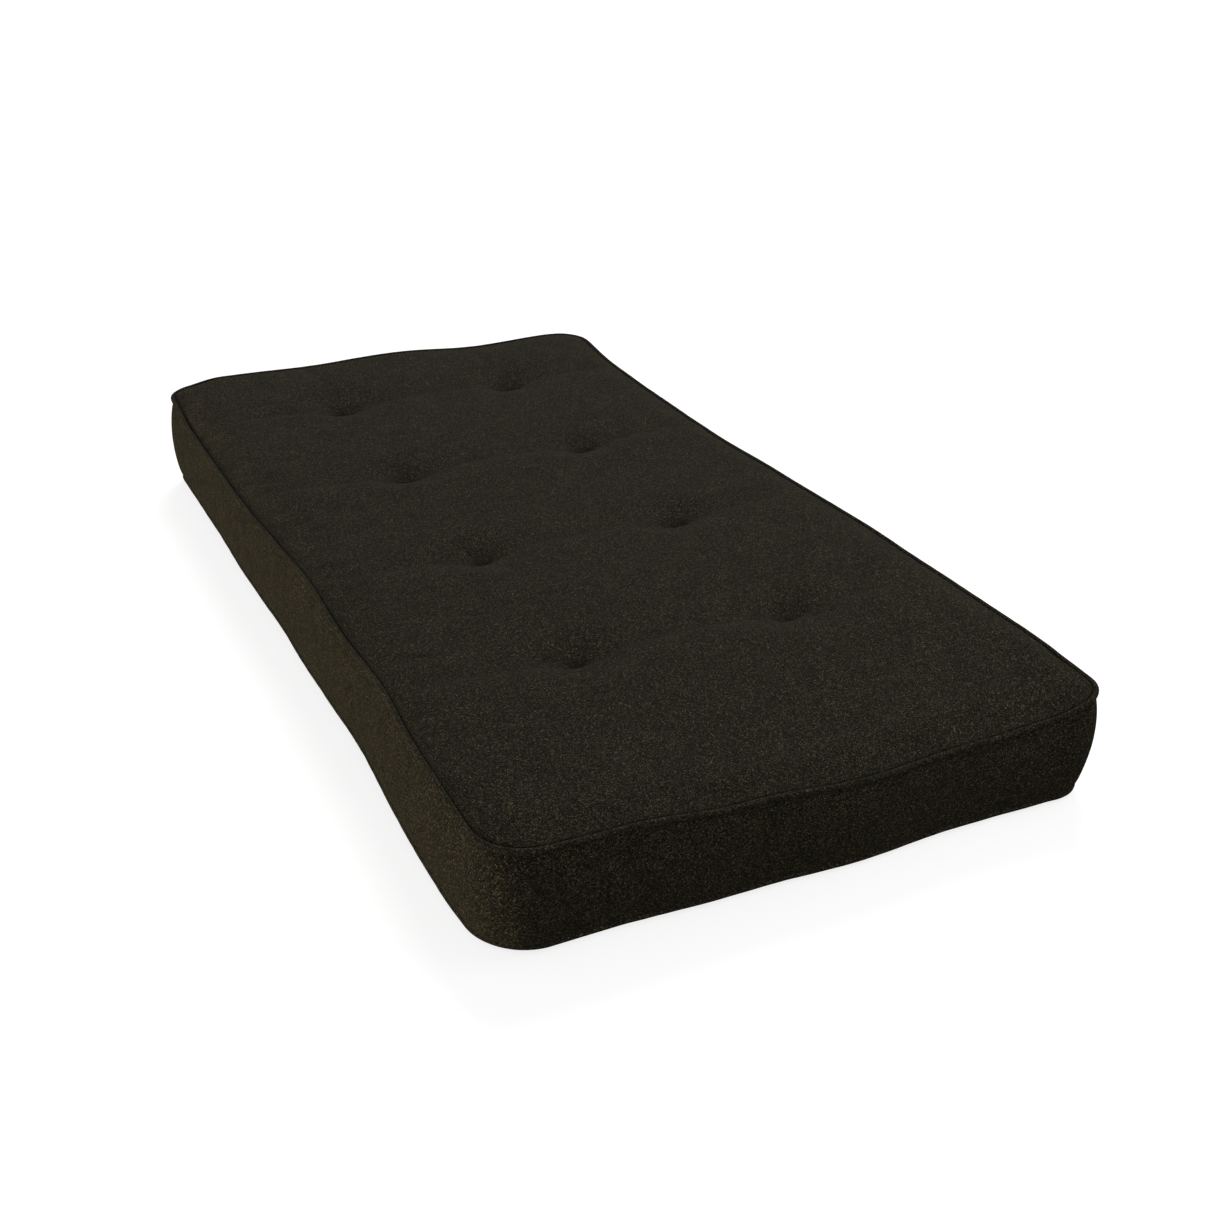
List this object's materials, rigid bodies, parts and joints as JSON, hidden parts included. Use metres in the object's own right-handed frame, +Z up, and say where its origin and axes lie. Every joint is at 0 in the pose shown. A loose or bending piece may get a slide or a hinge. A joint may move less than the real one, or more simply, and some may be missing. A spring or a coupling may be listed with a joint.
{
  "type": "futon mattress",
  "caption": "Boxed and piped tufted futon mattress for one person, which lies flat as a bed or folds across its width into a seat and back.",
  "frame": {"origin": "centre of the underside, on the surface that the mattress lies on", "axes": "+X along the length towards the seat end, +Y across the width, +Z up through the thickness"},
  "size_m": [1.905, 0.99, 0.203],
  "materials": {
    "cover_fabric": "heathered woven polyester, matte, dark brown-black",
    "piping_fabric": "the cover's own woven polyester, cut on the bias",
    "filler_cord": "twisted cotton cord, undyed",
    "batting": "cotton and polyester fibre batting, undyed",
    "foam": "open-cell polyurethane foam, cut slab",
    "twine": "waxed tufting twine, dark"
  },
  "bodies": {
    "seat": {"top_panel_seat": "cover_fabric", "boxing_seat": "cover_fabric", "bottom_panel_seat": "cover_fabric", "top_piping_cover_seat": "piping_fabric", "bottom_piping_cover_seat": "piping_fabric", "top_piping_cord_seat": "filler_cord", "bottom_piping_cord_seat": "filler_cord", "top_batting_seat": "batting", "upper_foam_seat": "foam", "middle_batting_seat": "batting", "lower_foam_seat": "foam", "bottom_batting_seat": "batting", "tuft_ties_seat": "twine"},
    "back": {"top_panel_back": "cover_fabric", "boxing_back": "cover_fabric", "bottom_panel_back": "cover_fabric", "top_piping_cover_back": "piping_fabric", "bottom_piping_cover_back": "piping_fabric", "top_piping_cord_back": "filler_cord", "bottom_piping_cord_back": "filler_cord", "top_batting_back": "batting", "upper_foam_back": "foam", "middle_batting_back": "batting", "lower_foam_back": "foam", "bottom_batting_back": "batting", "tuft_ties_back": "twine"}
  },
  "joints": [
    {"name": "fold", "type": "hinge", "parent": "seat", "child": "back", "pos_m": [-0.0695, 0, 0.203], "axis": [0, 1, 0], "range_deg": [0, 80]}
  ]
}
